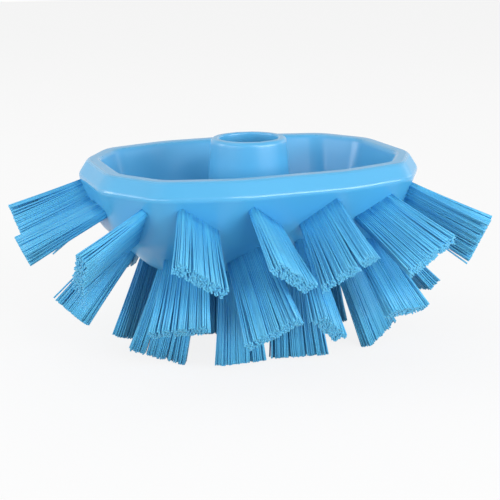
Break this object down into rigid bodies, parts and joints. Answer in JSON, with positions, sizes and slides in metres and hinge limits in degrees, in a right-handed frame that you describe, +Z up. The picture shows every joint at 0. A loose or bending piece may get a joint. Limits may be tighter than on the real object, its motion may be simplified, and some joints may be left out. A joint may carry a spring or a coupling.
{
  "type": "tank brush head",
  "caption": "Oval tank brush head: a bowl-shaped faceted plastic block with a central handle socket, set all round and below with slanted packs of stiff bristles.",
  "frame": {"origin": "centre of the bounding box at floor level, under the lowest bristle tips and on the axis of the handle socket", "axes": "+Z up along the handle socket's axis, X along the length of the oval block, Y across it"},
  "size_m": [0.1929, 0.1544, 0.0876],
  "materials": {
    "block_plastic": "smooth moulded polypropylene, soft gloss",
    "bristle_plastic": "stiff extruded polyester filaments, soft gloss"
  },
  "bodies": {
    "root": {"block": "block_plastic", "upper_pack_01": "bristle_plastic", "upper_pack_02": "bristle_plastic", "upper_pack_03": "bristle_plastic", "upper_pack_04": "bristle_plastic", "upper_pack_05": "bristle_plastic", "upper_pack_06": "bristle_plastic", "upper_pack_07": "bristle_plastic", "upper_pack_08": "bristle_plastic", "upper_pack_09": "bristle_plastic", "upper_pack_10": "bristle_plastic", "upper_pack_11": "bristle_plastic", "upper_pack_12": "bristle_plastic", "upper_pack_13": "bristle_plastic", "upper_pack_14": "bristle_plastic", "upper_pack_15": "bristle_plastic", "upper_pack_16": "bristle_plastic", "middle_pack_01": "bristle_plastic", "middle_pack_02": "bristle_plastic", "middle_pack_03": "bristle_plastic", "middle_pack_04": "bristle_plastic", "middle_pack_05": "bristle_plastic", "middle_pack_06": "bristle_plastic", "middle_pack_07": "bristle_plastic", "middle_pack_08": "bristle_plastic", "middle_pack_09": "bristle_plastic", "middle_pack_10": "bristle_plastic", "lower_pack_01": "bristle_plastic", "lower_pack_02": "bristle_plastic", "lower_pack_03": "bristle_plastic", "lower_pack_04": "bristle_plastic", "lower_pack_05": "bristle_plastic", "lower_pack_06": "bristle_plastic", "lower_pack_07": "bristle_plastic", "lower_pack_08": "bristle_plastic"}
  },
  "joints": []
}
